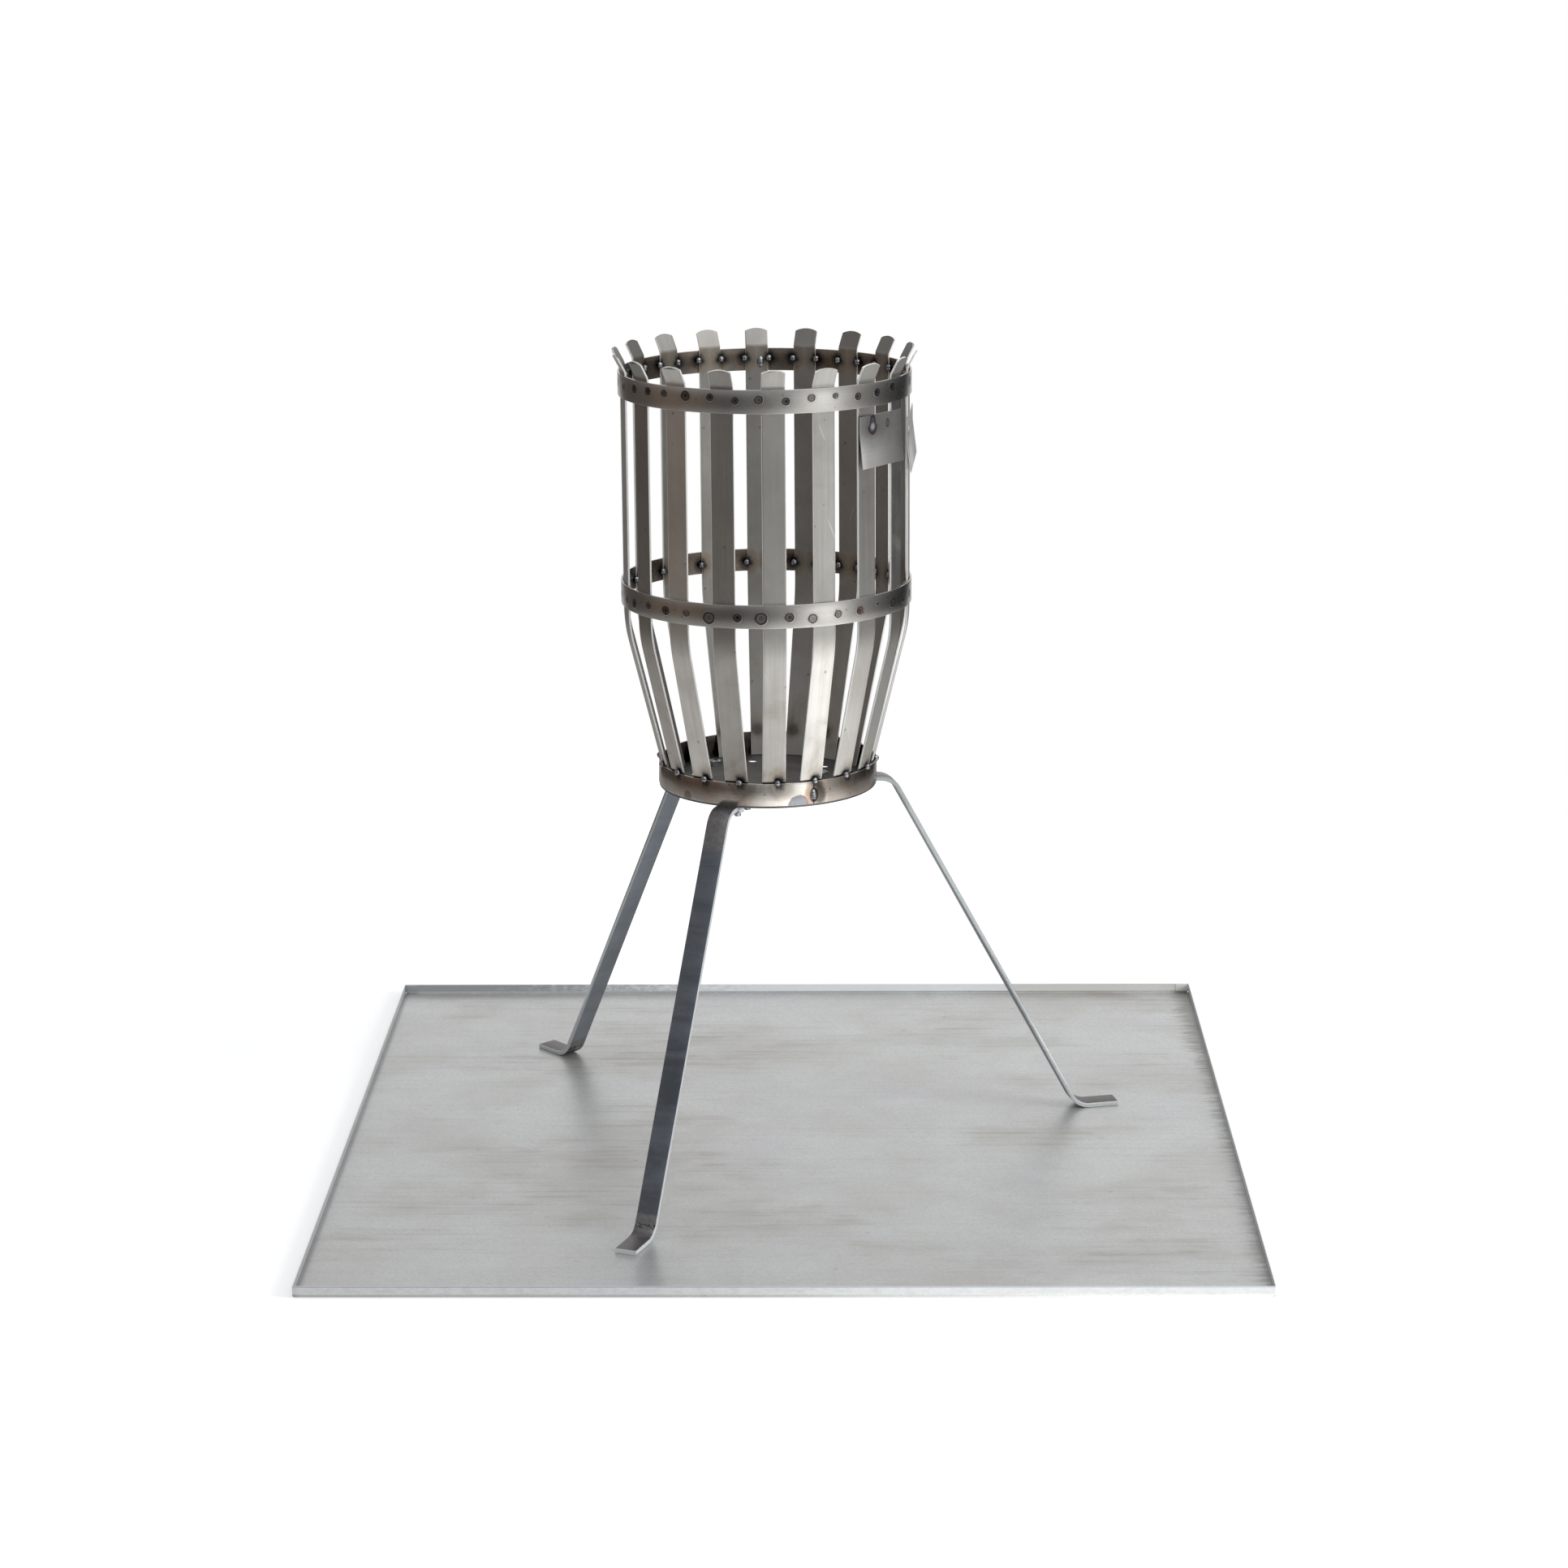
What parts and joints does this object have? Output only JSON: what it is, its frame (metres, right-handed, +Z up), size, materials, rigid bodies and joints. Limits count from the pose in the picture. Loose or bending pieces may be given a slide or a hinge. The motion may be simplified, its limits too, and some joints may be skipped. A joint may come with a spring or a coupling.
{
  "type": "fire basket",
  "caption": "Tall barrel-shaped fire basket of flat steel staves and hoops on three splayed legs, standing loose in a shallow square galvanised tray.",
  "frame": {"origin": "middle of the tray's underside, on the surface that it stands on", "axes": "+Z up; -Y is the front, the side that faces the camera in the picture; +X to the right seen from the front"},
  "size_m": [0.988, 1, 0.8867],
  "materials": {
    "galvanised_sheet": "galvanised, matt, with fine rolling streaks and dull stains",
    "bare_steel": "bare cold-rolled strip, satin",
    "hoop_steel": "bare rolled strip, satin, a little browner, with spot-weld marks",
    "heat_tinted_steel": "bare rolled strip with brown and gold heat tint from welding",
    "sooted_steel": "bare plate, dull and dark",
    "mill_scale_steel": "hot-rolled flat bar with dark blue-grey mill scale and bright worn edges",
    "zinc_plated_steel": "bright zinc",
    "weld_metal": "bright, freshly run weld",
    "tag_steel": "bare sheet, satin, blank"
  },
  "bodies": {
    "tray": {"tray": "galvanised_sheet"},
    "basket": {"floor_plate": "sooted_steel", "bottom_hoop": "heat_tinted_steel", "middle_hoop": "hoop_steel", "top_hoop": "hoop_steel", "stave_01": "bare_steel", "stave_02": "bare_steel", "stave_03": "bare_steel", "stave_04": "bare_steel", "stave_05": "bare_steel", "stave_06": "bare_steel", "stave_07": "bare_steel", "stave_08": "bare_steel", "stave_09": "bare_steel", "stave_10": "bare_steel", "stave_11": "bare_steel", "stave_12": "bare_steel", "stave_13": "bare_steel", "stave_14": "bare_steel", "stave_15": "bare_steel", "stave_16": "bare_steel", "stave_17": "bare_steel", "stave_18": "bare_steel", "leg_right": "mill_scale_steel", "leg_left": "mill_scale_steel", "leg_front": "mill_scale_steel", "leg_bolts": "zinc_plated_steel", "leg_washers": "zinc_plated_steel", "leg_nuts": "zinc_plated_steel", "stave_welds": "weld_metal", "middle_hoop_welds": "weld_metal", "top_hoop_welds": "weld_metal", "hoop_joint_welds": "weld_metal", "front_tag": "tag_steel", "side_tag": "tag_steel"}
  },
  "joints": [
    {"name": "basket_lift", "type": "slide", "parent": "tray", "child": "basket", "axis": [0, 0, 1], "range_m": [0, 0.35]}
  ]
}
